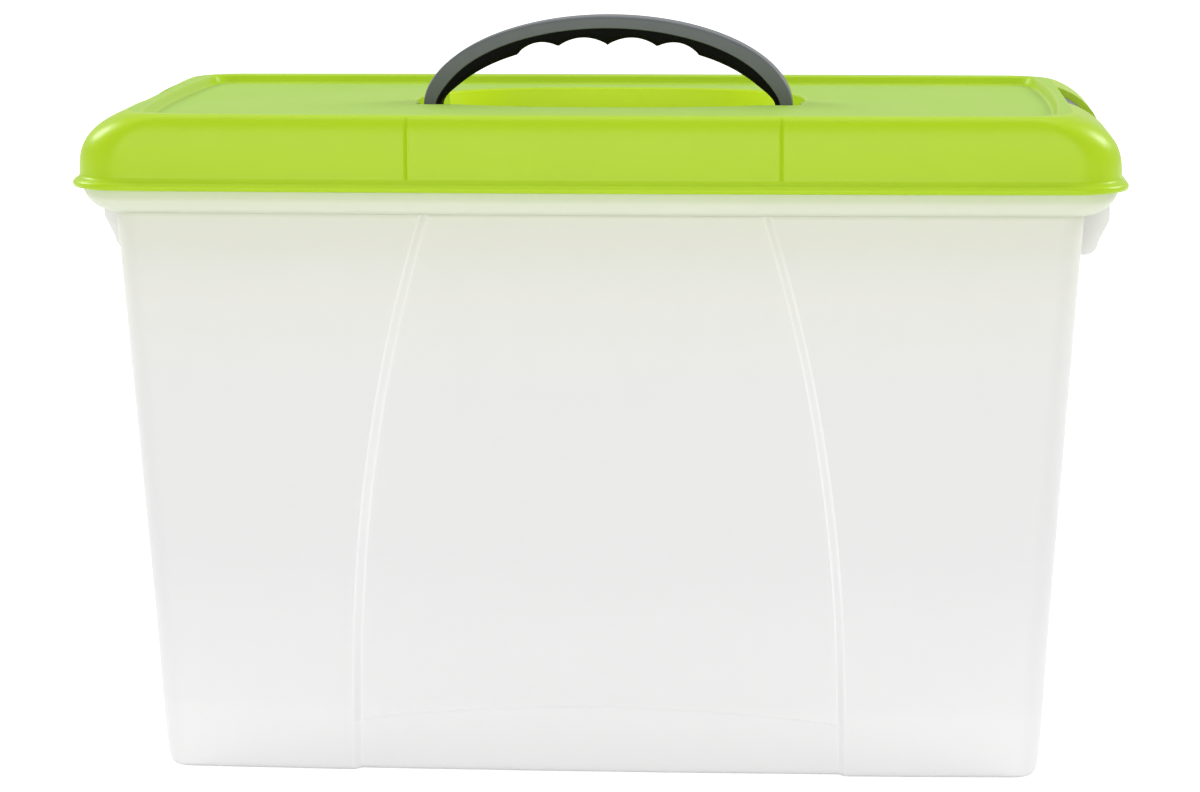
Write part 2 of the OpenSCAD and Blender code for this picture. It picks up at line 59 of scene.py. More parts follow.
# Tub
TUB_HIGH = highest("tub")
RIM_HALF_W, RIM_HALF_D, RIM_Z = TUB_HIGH
BASE_HALF_W = 182.2
BASE_HALF_D = 80.9
WALL_H = 236
END_SLOPE = math.tan(math.radians(3.4))
SIDE_SLOPE = math.tan(math.radians(3.6))
WALL_T = 2.2
FLOOR_T = 2.4
TUB_CORNER = 11
BASE_EDGE = 3
BOW = 3.5  # how much the long sides bulge
PANEL_DEPTH = 3.6
PANEL_HALF_BASE = 101
PANEL_HALF_TOP = 69
PANEL_CURVE = 2.35
STEP_W = 4  # width of the soft step at each side of a panel
ARC_Z = 28.5  # height of the arc low in each panel, at the middle
ARC_FALL = 6.5  # how far the arc falls in each 100 mm from the middle
ARC_STEP = 0.7  # how far the panel comes forward below the arc
ARC_STEP_H = 1.2  # height over which it does
ARC_FOLLOW_Z = ARC_Z - 8  # from here to the arc the rings of the wall dip as it does
ARC_LEVEL_H = 40  # height above the arc over which they come level again
# The step faces past these get a paler colour, a painted highlight.
STEP_FACE_Y = 70  # the step faces lie past this in y, and above the next in z
STEP_FACE_Z = 2
RIM_T = 2
RIM_CORNER = 19.9
WALL_TOP_W = BASE_HALF_W + WALL_H * END_SLOPE
WALL_TOP_D = BASE_HALF_D + WALL_H * SIDE_SLOPE
RAIL_T = 2
RAIL_HALF = 76
POCKET_HALF = 42
POCKET_T = 1.8
POCKET_LOW = WALL_H - 21.8
POCKET_OUT = RIM_HALF_W - 0.3
POCKET_LEAN = 4.5
POCKET_LEAN_H = 14.5
POCKET_EDGE = 5.5
POCKET_TOP = math.radians(75)  # turn of the rim where the pocket meets it
SLOT_HALF = 21.5  # slot in the rim for the hook of the latch
SLOT_GAP = 1
SLOT_X = WALL_TOP_W + 1.2

# Lid
LID_HIGH = highest("lid")
CREST_Z = LID_HIGH[2]
BEAD_OUT = 2.8
SKIRT_HALF_W = LID_HIGH[0] - BEAD_OUT
SKIRT_HALF_D = LID_HIGH[1] - BEAD_OUT
LID_T = 2
LEDGE_W = 1.4
LEDGE_Z = RIM_Z + 0.3
LIP_Z = RIM_Z - 1.6
BEAD_H = 3.9
SKIRT_Z = LIP_Z + BEAD_H + 1.5
LID_CORNER = 21
CREST_CORNER = 20
SHOULDER_END = 19.5
SHOULDER_SIDE = 6.7
END_CURVE_OUT = 1.2  # how round the shoulders are, as the powers of superellipses
END_CURVE_UP = 2.8
SIDE_CURVE = 3.5
CREST_HALF_W = SKIRT_HALF_W - SHOULDER_END
CREST_HALF_D = SKIRT_HALF_D - SHOULDER_SIDE
BORDER_END = 3.2
BORDER_SIDE = 6.6
BORDER_CORNER = 8
PANEL_BOW = 4
PANEL_Z = CREST_Z - 3.8
CREASE_X = 75
CREASE_W = 1.8
CREASE_DEPTH = 0.7
CREASE_END = math.radians(84)  # turn of the shoulder where the creases end
CREASE_FADE = math.radians(24)
BOW_LOSS = 0.35  # share of the bow that the sides lose on their way up to the crest
BORDER_BOW = BOW * 0.2
BOW_START = CREASE_X + 15  # past this the border's ends bend in towards the corners
NOTCH_HALF = 38
NOTCH_X = CREST_HALF_W + 0.3
SILL_Z = LEDGE_Z + 13.5
RIB_T = 2.5
RIB_X = NOTCH_X - 3
RIB_Z = LEDGE_Z + 11
RIB_SINK = 1  # how far the ribs stay under the shoulder's outer face
WELL_X = NOTCH_X - 0.8  # outer face of the wall behind a latch
WELL_T = 1.8
WELL_Z = LEDGE_Z + 12
BEAD_PROFILE = [  # share of its width, and height, from its foot up to the skirt
    (0.6, 0), (0.78, 0.12), (0.92, 0.5), (0.98, 1), (1, 1.6),
    (0.96, 2.2), (0.8, 2.8), (0.5, 3.4), (0.22, 3.9), (0.06, 4.5),
]
BORDER_TOP = [(-0.4, 0), (0, 0.05), (0.3, 0.25), (0.6, 0.6), (0.8, 1.2)]  # inset, depth
BORDER_FOOT = [(1.5, 1.1), (1.8, 0.5), (2.2, 0.15), (2.7, 0)]  # inset, height over the panel

# Hand recess
DISH_HALF_W = 83
DISH_BACK = 61
DISH_FRONT = 34
DISH_MID_Y = 12
DISH_Z = PANEL_Z - 16.2
DISH_BACK_CURVE = 2.8
DISH_FRONT_CURVE = 2.1
DISH_LIP = [(-1.4, 0), (-0.8, 0.1), (-0.3, 0.4), (0, 0.9)]  # inset, depth below the panel
DISH_FOOT = [(1.3, 3), (1.6, 1.6), (2.2, 0.7), (3.1, 0.2), (4.4, 0), (8, 0)]  # inset, height
LIP_STRIPS = 2  # strips of the lip that keep the lid's own colour
SLOT_CURVE = 30

# Handle
HANDLE_HIGH = highest("handle_frame")
ARCH_HALF = HANDLE_HIGH[0]
HINGE_Z = DISH_Z + 9
ARCH_Z = HINGE_Z + 5.8
ARCH_RISE = HANDLE_HIGH[2] - ARCH_Z
STRAP_CROWN = 5.1
STRAP_LEG = 5.2
STRAP_SHOULDER = 2.4  # the strap is thicker between its leg and its crown
SHOULDER_START = 0.5  # radians of the arch over which that begins
STRAP_W = 16
STRAP_ROUND = 1.2
STRAP_CHAMFER = 0.3
GRIP_T = 7.2
GRIP_LEG = 4.85
GROOVE_T = 4.2
GRIP_TAIL = 2.1
FINGER_PITCH = 22.6
OUTER_PITCH = 19.2
GRIP_W = 14.6
PIN_R = 2.5
PIN_GAP = 0.06
BOSS_R = PIN_R + 4
BOSS_L = 10
LEG_SLOT = ARCH_HALF + 3
LEG_SLOT_D = DISH_MID_Y + STRAP_W / 2 + 2.4

# Latches
PIVOT_X = SKIRT_HALF_W - 8.9
PIVOT_Z = SILL_Z + 2.5
LATCH_PIN_R = 1.5
HUB_R = LATCH_PIN_R + 1.5
HUB_HALF = NOTCH_HALF - 0.4
PAD_GAP = 0.8
PAD_SINK = 3
PAD_T = 2.2
PAD_BEVEL = 0.5
PRESS_GAP = 1.6
WEB_IN = 1.2
WEB_OUT = 2
WEB_H = 2.6
ARM_HALF = 20
ARM_X = PIVOT_X + 1.2
ARM_OUT = ARM_X + 2
BARB = 1.8
BARB_H = 3
CATCH_X = ARM_OUT + 0.5
CATCH_Z = WALL_H - 1.1
CATCH_T = 2.2
BARB_Z = CATCH_Z - 0.4


# ------------------------------------------------------------------ helpers

def spread(start, end, count):
    """Evenly spaced values from start to end, without end"""
    return [start + (end - start) * i / count for i in range(count)]


def soft_step(value):
    """0 below 0, 1 above 1, and a smooth rise between"""
    value = min(max(value, 0), 1)
    return value * value * (3 - 2 * value)


def reach(share, roundness):
    """How far out a quarter superellipse of size 1 lies at that share of its height"""
    return max(1 - share ** roundness, 0) ** (1 / roundness)


def whole_ring(half, z):
    """Mirrors half a ring, from the front middle to the back middle, into a closed ring.
    z is its height, or a function of x and y that gives it."""
    points = half + [(-x, y) for x, y in half[-2:0:-1]]
    level = z if callable(z) else lambda x, y: z
    return [(x, y, level(x, y)) for x, y in points]


def half_ring(front, half_w):
    """Adds the back right quarter to the front right quarter of a ring"""
    return [(x, -y) for x, y in front] + [(half_w, 0)] + front[::-1]


def corner(x, y, radius, count):
    """Quarter arc round a corner of the front right quarter, which starts at x, y"""
    turns = spread(0, math.pi / 2, count)
    return [(x + radius * math.sin(a), y - radius * (1 - math.cos(a))) for a in turns]


def make_piece(name, points, faces, materials, face_slots=None):
    """Mesh object of points in millimetres, shaded smooth"""
    mesh = bpy.data.meshes.new(name)
    mesh.from_pydata([Vector(p) * MM for p in points], [], faces)
    for material in materials:
        mesh.materials.append(material)
    if face_slots:
        mesh.polygons.foreach_set("material_index", face_slots)
    mesh.shade_smooth()
    piece = bpy.data.objects.new(name, mesh)
    bpy.context.scene.collection.objects.link(piece)
    return piece


def shell(name, rings, materials, strip_slot=lambda strip: 0):
    """Closed solid skinned over rings of equal length and capped at both ends. Each ring runs
    counterclockwise, seen from the next. strip_slot gives the material of each strip."""
    count = len(rings[0])
    last = (len(rings) - 1) * count
    faces = [list(range(count))[::-1]]
    slots = [strip_slot(0)]
    for i in range(len(rings) - 1):
        for j in range(count):
            k = (j + 1) % count
            faces.append([i * count + j, i * count + k, (i + 1) * count + k, (i + 1) * count + j])
            slots.append(strip_slot(i))
    faces.append([last + j for j in range(count)])
    slots.append(strip_slot(len(rings) - 2))
    return make_piece(name, [p for ring in rings for p in ring], faces, materials, slots)


def prism(name, outline, low_y, high_y, materials):
    """Closed solid of an outline in x and z, counterclockwise seen from the front, between two
    places in y"""
    rings = [[(x, y, z) for x, z in outline] for y in (high_y, low_y)]
    return shell(name, rings, materials)


def block(name, low, high, materials):
    """Closed box between its lowest and highest corner"""
    outline = [(low[0], low[2]), (high[0], low[2]), (high[0], high[2]), (low[0], high[2])]
    return prism(name, outline, low[1], high[1], materials)


def rod(name, start, end, radius, materials, sides=64):
    """Round bar from start to end, along x or y"""
    along = Vector(end) - Vector(start)
    turn = along.to_track_quat("Z", "Y").to_matrix()
    rings = [
        [Vector(at) + turn @ Vector((radius * math.cos(a), radius * math.sin(a), 0))
         for a in spread(0, 2 * math.pi, sides)]
        for at in (start, end)
    ]
    return shell(name, rings, materials)


def mirrored(piece):
    """Copy of a piece at the other end of the box"""
    mesh = piece.data.copy()
    mesh.transform(Matrix.Scale(-1, 4, (1, 0, 0)))
    mesh.flip_normals()
    other = bpy.data.objects.new(piece.name + "_mirrored", mesh)
    bpy.context.scene.collection.objects.link(other)
    return other


def combine(piece, tool, operation):
    """Joins, or cuts, tool with piece and removes tool"""
    modifier = piece.modifiers.new(operation, "BOOLEAN")
    modifier.operation = operation
    modifier.object = tool
    modifier.solver = "MANIFOLD"
    apply_modifiers(piece)
    bpy.data.objects.remove(tool)


def apply_modifiers(piece):
    """Turns what the modifiers of a piece make into its mesh"""
    bpy.context.view_layer.update()
    depsgraph = bpy.context.evaluated_depsgraph_get()
    mesh = bpy.data.meshes.new_from_object(piece.evaluated_get(depsgraph), depsgraph=depsgraph)
    piece.modifiers.clear()
    piece.data = mesh


def at_both_ends(piece, tool, operation):
    """Joins, or cuts, tool and its mirror image with piece"""
    other = mirrored(tool)
    combine(piece, tool, operation)
    combine(piece, other, operation)


def finish_edges(piece, angle=32):
    """Keeps flat faces flat and edges over that angle sharp"""
    piece.data.shade_smooth()
    piece.data.set_sharp_from_angle(angle=math.radians(angle))
    weigh = piece.modifiers.new("even_normals", "WEIGHTED_NORMAL")
    weigh.keep_sharp = True
    apply_modifiers(piece)


# ------------------------------------------------------------------ materials

def new_material(name):
    material = bpy.data.materials.new(name)
    material.use_nodes = True
    material.node_tree.nodes.clear()
    return material


def add(material, kind, **values):
    """New node with its sockets set to values. A value that is a socket is linked."""
    tree = material.node_tree
    node = tree.nodes.new(kind)
    for name, value in values.items():
        socket = node.inputs[name.replace("_", " ")]
        if isinstance(value, bpy.types.NodeSocket):
            tree.links.new(value, socket)
        else:
            socket.default_value = value
    return node


def output(material, surface):
    """Makes a shader's socket the surface of a material"""
    add(material, "ShaderNodeOutputMaterial", Surface=surface)


def linear(red, green, blue):
    """Linear colour of an sRGB colour given from 0 to 255"""
    def channel(value):
        value /= 255
        return value / 12.92 if value <= 0.04045 else ((value + 0.055) / 1.055) ** 2.4
    return (channel(red), channel(green), channel(blue), 1)


def noise(material, scale, detail=2.0, roughness=0.5):
    """Noise fixed to the object, with scale in cycles a metre"""
    place = add(material, "ShaderNodeTexCoord").outputs["Object"]
    node = add(
        material, "ShaderNodeTexNoise", Vector=place, Scale=scale, Detail=detail,
        Roughness=roughness)
    return node.outputs["Fac"]


def between(material, fac, low, high):
    """Value that runs from low to high as fac runs from 0 to 1"""
    node = add(material, "ShaderNodeMapRange", Value=fac, To_Min=low, To_Max=high)
    return node.outputs["Result"]


def tinted(material, fac, first, second):
    """Colour that runs from first to second as fac runs from 0 to 1"""
    mix = add(material, "ShaderNodeMix")
    mix.data_type = "RGBA"
    material.node_tree.links.new(fac, mix.inputs["Factor"])
    mix.inputs[6].default_value = first  # the node's colour sockets have no names of their own
    mix.inputs[7].default_value = second
    return mix.outputs[2]


def bump(material, height, strength, distance):
    """Normal of a surface roughened by height, up to distance in metres"""
    node = add(
        material, "ShaderNodeBump", Height=height, Strength=strength, Distance=distance)
    return node.outputs["Normal"]


def graded(material, stops):
    """Colour that changes with height, through stops of a height in millimetres and a colour"""
    place = add(material, "ShaderNodeTexCoord").outputs["Object"]
    height = add(material, "ShaderNodeSeparateXYZ", Vector=place).outputs["Z"]
    low, high = stops[0][0], stops[-1][0]
    share = add(
        material, "ShaderNodeMapRange", Value=height, From_Min=low * MM, From_Max=high * MM)
    node = add(material, "ShaderNodeValToRGB", Fac=share.outputs["Result"])
    marks = node.color_ramp.elements
    for mark in list(marks)[1:]:
        marks.remove(mark)
    marks[0].position = 0
    marks[0].color = stops[0][1]
    for level, colour in stops[1:]:
        marks.new((level - low) / (high - low)).color = colour
    return node.outputs["Color"]


POLYPROPYLENE_IOR = 1.42


def translucent_plastic(name, colour, through, share, roughness, grain, grain_scale):
    """Polypropylene that scatters light. colour makes its colour for a material, through is the
    colour of light that passes it, and share how much passes."""
    material = new_material(name)
    normal = bump(material, noise(material, grain_scale, 3), grain, 0.0004)
    body = add(
        material, "ShaderNodeBsdfPrincipled", Base_Color=colour(material), Normal=normal,
        Roughness=between(material, noise(material, 60), roughness - 0.04, roughness + 0.04),
        IOR=POLYPROPYLENE_IOR,
    )
    glow = add(material, "ShaderNodeBsdfTranslucent", Color=through, Normal=normal)
    mixed = add(material, "ShaderNodeMixShader")
    mixed.inputs[0].default_value = share
    material.node_tree.links.new(body.outputs[0], mixed.inputs[1])
    material.node_tree.links.new(glow.outputs[0], mixed.inputs[2])
    output(material, mixed.outputs[0])
    return material


def clouded(first, second):
    """Colour maker: soft clouds of two colours"""
    return lambda material: tinted(material, noise(material, 18, 3), first, second)


def solid_plastic(name, colour, other, roughness, grain, grain_scale, ior=1.5):
    """Filled plastic or rubber, mottled from colour to other"""
    material = new_material(name)
    mottle = tinted(material, noise(material, 120, 4), colour, other)
    body = add(
        material, "ShaderNodeBsdfPrincipled", Base_Color=mottle, IOR=ior,
        Roughness=between(material, noise(material, 300), roughness - 0.05, roughness + 0.05),
        Normal=bump(material, noise(material, grain_scale, 3), grain, 0.0003),
    )
    output(material, body.outputs[0])
    return material


# Painted light and shade on the tub, as colours by height in millimetres: whitest at its foot, a
# painted glow of the white floor; tinted like the lid near the top, painted light from the lid; a
# thin grey line of painted shade round the rim where it turns out from the wall; and a darker olive
# band of painted shade under the lid. Its narrow step faces are paler, a painted highlight.
TUB_PAINTED_LIGHT = [
    (0, linear(255, 255, 255)), (26, linear(255, 255, 255)), (32, linear(252, 252, 252)),
    (94, linear(244, 244, 244)), (158, linear(243, 243, 242)), (200, linear(243, 243, 237)),
    (218, linear(239, 240, 230)), (230, linear(236, 237, 223)), (234.8, linear(236, 238, 221)),
    (235.6, linear(219, 224, 203)), (236.6, linear(219, 224, 203)), (237.6, linear(236, 241, 219)),
    (241.6, linear(234, 240, 216)), (242.8, linear(221, 229, 196)), (250, linear(215, 225, 184)),
]
# Paler colours by height for the step faces, a painted highlight: whitest at the foot and tinted
# like the lid at the top, painted light as on the rest of the tub.
STEP_PAINTED_HIGHLIGHT = [
    (0, linear(255, 255, 255)), (120, linear(255, 255, 255)),
    (170, linear(253, 253, 251)), (215, linear(247, 248, 240)), (236, linear(236, 237, 222)),
]
TUB_THROUGH = linear(250, 248, 250)

lid_plastic = translucent_plastic(
    "lid_satin_lime", clouded(linear(194, 227, 24), linear(189, 223, 20)), linear(184, 226, 20),
    share=0.22, roughness=0.32, grain=0.05, grain_scale=900)
lid_frosted = translucent_plastic(
    "lid_frosted_lime", clouded(linear(190, 222, 108), linear(180, 217, 90)), linear(180, 224, 36),
    share=0.25, roughness=0.55, grain=0.5, grain_scale=1400)
# The hand recess is coloured brighter and yellower than the rest of the lid: painted light on a
# hollow that its own walls shade.
lid_recess_painted_light = translucent_plastic(
    "lid_recess_lime_painted_light", clouded(linear(234, 255, 40), linear(228, 252, 36)), linear(214, 246, 40),
    share=0.25, roughness=0.4, grain=0.15, grain_scale=900)
# The tub's base colour is the painted light and shade by height above.
tub_plastic_painted_light = translucent_plastic(
    "tub_milky_painted_light", lambda material: graded(material, TUB_PAINTED_LIGHT), TUB_THROUGH,
    share=0.2, roughness=0.34, grain=0.04, grain_scale=700)
# Material of the step faces, paler in colour: a painted highlight.
step_highlight_plastic = translucent_plastic(
    "tub_milky_painted_step_highlight", lambda material: graded(material, STEP_PAINTED_HIGHLIGHT), TUB_THROUGH,
    share=0.12, roughness=0.3, grain=0.03, grain_scale=700)
pocket_plastic = translucent_plastic(
    "tub_clear", clouded(linear(250, 250, 249), linear(246, 246, 245)), linear(252, 251, 252),
    share=0.4, roughness=0.25, grain=0.03, grain_scale=700)
handle_grey = solid_plastic(
    "handle_grey", linear(84, 88, 92), linear(79, 83, 87), 0.42, 0.12, 1800)
grip_black = solid_plastic(
    "grip_black", linear(6, 6, 5), linear(4, 4, 3), 0.75, 0.25, 1500, ior=1.2)
latch_grey = solid_plastic(
    "latch_grey", linear(92, 96, 100), linear(86, 90, 94), 0.42, 0.12, 1800)
pin_nylon = solid_plastic(
    "pin_nylon", linear(222, 221, 214), linear(214, 213, 206), 0.4, 0.05, 900)

# Material slots of the two mouldings
TUB_SKINS = [tub_plastic_painted_light, pocket_plastic, step_highlight_plastic]
# The third slot of the tub is the step faces' painted highlight.
WALL, POCKET, STEP_HIGHLIGHT = range(3)
LID_SKINS = [lid_plastic, lid_frosted, lid_recess_painted_light]
# The third slot of the lid is the recess's painted light.
SATIN, FROSTED, RECESS_PAINTED_LIGHT = range(3)


# ------------------------------------------------------------------ tub

def panel_half(z):
    """Half width of the centre panels at height z"""
    narrowing = min(z / WALL_H, 1) ** PANEL_CURVE
    return PANEL_HALF_BASE - (PANEL_HALF_BASE - PANEL_HALF_TOP) * narrowing


def arc_drop(x):
    """How far the arc lies below its middle at x"""
    return ARC_FALL * (min(abs(x), PANEL_HALF_BASE) / 100) ** 2


def tub_ring(half_w, half_d, radius, panel, set_back, z):
    """Ring of the tub. panel is where the centre panel ends, and set_back is a function of x
    that gives its depth."""
    def bulge(x):
        return half_d - BOW * (x / half_w) ** 2

    side_y = bulge(half_w - radius)
    low = panel - STEP_W / 2
    high = panel + STEP_W / 2
    front = [(x, bulge(x) - set_back(x)) for x in spread(0, low, 16)]
    front += [
        (x, bulge(x) - set_back(x) * (1 - soft_step((x - low) / STEP_W)))
        for x in spread(low, high, 10)
    ]
    front += [(x, bulge(x)) for x in spread(high, half_w - radius, 12)]
    front += corner(half_w - radius, side_y, radius, 12)
    front += [(half_w, y) for y in spread(side_y - radius, 0, 6)]
    return whole_ring(half_ring(front, half_w), z)


def wall_ring(z, inset=0, at_z=None):
    """Ring of the wall as it is at height z, moved in by inset. The rings near the arc in the
    centre panel dip with it."""
    at_z = z if at_z is None else at_z
    dip = soft_step(at_z / ARC_FOLLOW_Z)
    dip *= soft_step((ARC_Z + ARC_LEVEL_H - at_z) / ARC_LEVEL_H)

    def set_back(x):
        below = soft_step((ARC_Z - z) / ARC_STEP_H + 0.5)
        return PANEL_DEPTH - ARC_STEP * below

    def level(x, y):
        return at_z - dip * arc_drop(x)

    return tub_ring(
        BASE_HALF_W + z * END_SLOPE - inset, BASE_HALF_D + z * SIDE_SLOPE - inset,
        max(TUB_CORNER - inset, 2), panel_half(z), set_back, level if dip > 0 else at_z)


def rim_ring(turn, inset):
    """Ring of the flaring rim, where turn runs from 0 at the wall to a right angle at the top"""
    out = math.sin(turn)
    return tub_ring(
        WALL_TOP_W + (RIM_HALF_W - WALL_TOP_W) * out - inset,
        WALL_TOP_D + (RIM_HALF_D - WALL_TOP_D) * out - inset,
        TUB_CORNER + (RIM_CORNER - TUB_CORNER) * out - inset,
        PANEL_HALF_TOP, lambda x: 0,
        WALL_H + inset + (RIM_Z - WALL_H - inset) * (1 - math.cos(turn)))


def tub_wall():
    """Wall and rim of the tub, from the outside of the floor, over the rim, to its inside. The
    heights of its rings lie close together at the arc."""
    turns = [math.radians(a) for a in (3, 8, 16, 24, 32, 40, 48, 56, 64, 72, 80, 86, 90)]
    levels = [4, 8, 14, 20, 24, 27, 27.6, 28, 28.25, 28.5, 28.75, 29, 29.4, 30, 33, 38]
    levels += spread(46, WALL_H - 0.5, 26) + [WALL_H - 0.5]
    rings = [
        wall_ring(0, BASE_EDGE * (1 - math.sin(a)), BASE_EDGE * (1 - math.cos(a)))
        for a in spread(0, math.pi / 2, 6)
    ]
    rings += [wall_ring(z) for z in levels] + [wall_ring(WALL_H)]
    rings += [rim_ring(turn, 0) for turn in turns]
    rings += [rim_ring(turn, RIM_T) for turn in turns[::-1]]
    rings += [wall_ring(WALL_H, WALL_T)]
    rings += [wall_ring(z, WALL_T) for z in levels[:1:-1]]
    rings += [
        wall_ring(
            FLOOR_T, WALL_T + BASE_EDGE * (1 - math.cos(a)),
            FLOOR_T + BASE_EDGE * (1 - math.sin(a)))
        for a in spread(0, math.pi / 2, 6) + [math.pi / 2]
    ]
    tub = shell("tub_shell", rings, TUB_SKINS)
    # The step faces at the sides of the panels take the paler material, a painted highlight.
    for polygon in tub.data.polygons:
        x, y, z = polygon.center / MM
        on_highlit_step = abs(abs(x) - panel_half(z)) < STEP_W / 2 and abs(y) > STEP_FACE_Y
        if on_highlit_step and STEP_FACE_Z < z < WALL_H:
            polygon.material_index = STEP_HIGHLIGHT
    return tub


def rim_middle(turn):
    """Point in the middle of the rim's thickness, in x and z"""
    return (
        WALL_TOP_W + (RIM_HALF_W - WALL_TOP_W) * math.sin(turn) - RIM_T / 2,
        WALL_H + RIM_T / 2 + (RIM_Z - WALL_H - RIM_T / 2) * (1 - math.cos(turn)))


def catch_pocket():
    """Hollow pocket under the right end of the rim, with the ledge that the latch hooks under"""
    wall_x = BASE_HALF_W + POCKET_LOW * END_SLOPE - WALL_T / 4

    def wall(inset):
        radius = POCKET_EDGE - inset
        x = POCKET_OUT - POCKET_LEAN - POCKET_EDGE
        z = POCKET_LOW + POCKET_EDGE
        edge = [
            (x + radius * math.sin(a), z - radius * math.cos(a))
            for a in spread(0, math.pi / 2, 8) + [math.pi / 2]]
        top = (POCKET_OUT - inset, POCKET_LOW + POCKET_LEAN_H)
        return [(wall_x, POCKET_LOW + inset)] + edge + [top]

    outline = wall(0) + [(POCKET_OUT, rim_middle(POCKET_TOP)[1])]
    outline += [rim_middle(turn) for turn in spread(POCKET_TOP, 0, 5)] + [rim_middle(0)]
    hollow = wall(POCKET_T) + [(POCKET_OUT - POCKET_T, RIM_Z), (wall_x, RIM_Z)]
    pocket = prism("pocket", outline, -POCKET_HALF, POCKET_HALF, TUB_SKINS)
    pocket.data.polygons.foreach_set("material_index", [POCKET] * len(pocket.data.polygons))
    inside = POCKET_HALF - POCKET_T
    combine(pocket, prism("hollow", hollow, -inside, inside, TUB_SKINS), "DIFFERENCE")
    ledge = block(
        "ledge", (CATCH_X, -SLOT_HALF, CATCH_Z),
        (POCKET_OUT - POCKET_T / 2, SLOT_HALF, CATCH_Z + CATCH_T), TUB_SKINS)
    combine(pocket, ledge, "UNION")
    return pocket


def build_tub():
    tub = tub_wall()
    slot = block(
        "slot", (SLOT_X, -SLOT_HALF, WALL_H - 2), (ARM_OUT + SLOT_GAP, SLOT_HALF, RIM_Z),
        TUB_SKINS)
    at_both_ends(tub, slot, "DIFFERENCE")
    at_both_ends(tub, catch_pocket(), "UNION")
    rail_x = WALL_TOP_W - WALL_T
    rail = block(
        "rail", (rail_x, -RAIL_HALF, WALL_H), (rail_x + RAIL_T, RAIL_HALF, RIM_Z), TUB_SKINS)
    at_both_ends(tub, rail, "UNION")
    finish_edges(tub)
    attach(tub, "tub")
    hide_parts("tub")


# ------------------------------------------------------------------ lid

def crease(x, depth):
    """Depth of the groove of each crease at x"""
    across = abs(abs(x) - CREASE_X) / (CREASE_W / 2)
    return depth * max(1 - across, 0)


def lid_half(half_w, half_d, radius, depth, bow, end_bow=0):
    """Half ring of the lid. Its long sides bulge by bow and its ends by end_bow."""
    def bulge(x):
        return half_d - bow * (x / half_w) ** 2 - crease(x, depth)

    def bowed(x, y):
        share = max(x - BOW_START, 0) / (half_w - BOW_START)
        return (x - end_bow * (y / half_d) ** 2 * share, y)

    side_y = bulge(half_w - radius)
    low = CREASE_X - CREASE_W
    high = CREASE_X + CREASE_W
    places = spread(0, low, 16) + spread(low, high, 16) + spread(high, half_w - radius, 16)
    front = [(x, bulge(x)) for x in places]
    front += corner(half_w - radius, side_y, radius, 14)
    shares = spread(1, 0.62, 8) + spread(0.62, 0.42, 14) + spread(0.42, 0, 10)
    front += [(half_w, (side_y - radius) * share) for share in shares]
    return half_ring([bowed(x, y) for x, y in front], half_w)


def lid_ring(half_w, half_d, radius, depth, bow, end_bow, z):
    return whole_ring(lid_half(half_w, half_d, radius, depth, bow, end_bow), z)


def rise(angle):
    """Height of the end shoulder at an angle up from the skirt, as a share"""
    return math.sin(angle) ** (2 / END_CURVE_UP)


def end_reach(angle):
    """How far out the end shoulder lies at that angle, as a share"""
    return max(math.cos(angle), 0) ** (2 / END_CURVE_OUT)


def shoulder_ring(angle, inset):
    """Ring of the skirt and shoulder. The creases are in its outer face only."""
    s = rise(angle)
    fade = soft_step((CREASE_END - angle) / CREASE_FADE)
    return lid_ring(
        CREST_HALF_W + (SHOULDER_END - inset) * end_reach(angle),
        CREST_HALF_D + (SHOULDER_SIDE - inset) * reach(s, SIDE_CURVE),
        LID_CORNER + (CREST_CORNER - LID_CORNER) * s - inset, 0 if inset else CREASE_DEPTH * fade,
        BOW * (1 - BOW_LOSS * s), 0, SKIRT_Z + (CREST_Z - SKIRT_Z - inset) * s)


def bead_ring(out, up):
    """Ring of the bead, out from the skirt and up from the lip's foot"""
    return lid_ring(
        SKIRT_HALF_W + out, SKIRT_HALF_D + out, LID_CORNER + out, 0, BOW, 0, LIP_Z + up)


def border_ring(inset, z):
    """Ring round the sunk panel"""
    return lid_ring(
        CREST_HALF_W - BORDER_END - inset, CREST_HALF_D - BORDER_SIDE - inset,
        BORDER_CORNER - inset, 0, BORDER_BOW, PANEL_BOW, z)


def dish_ring(inset, z):
    """Ring of the hand recess. Each point lies in the direction of the same point of the panel's
    edge, on the recess or on the slot for the handle's legs, whichever is further out."""
    def superellipse(turn, wide, deep, curve):
        return (
            (abs(math.cos(turn)) / wide) ** curve + (abs(math.sin(turn)) / deep) ** curve
        ) ** (-1 / curve)

    points = []
    for x, y in lid_half(
            CREST_HALF_W - BORDER_END, CREST_HALF_D - BORDER_SIDE, BORDER_CORNER, 0, 0):
        turn = math.atan2(y - DISH_MID_Y, x)
        deep, curve = (
            (DISH_FRONT, DISH_FRONT_CURVE) if turn < 0 else (DISH_BACK, DISH_BACK_CURVE))
        out = max(
            superellipse(turn, DISH_HALF_W - inset, deep - inset, curve),
            superellipse(turn, LEG_SLOT - inset, LEG_SLOT_D - inset, SLOT_CURVE))
        points.append((out * math.cos(turn), DISH_MID_Y + out * math.sin(turn)))
    return whole_ring(points, z)


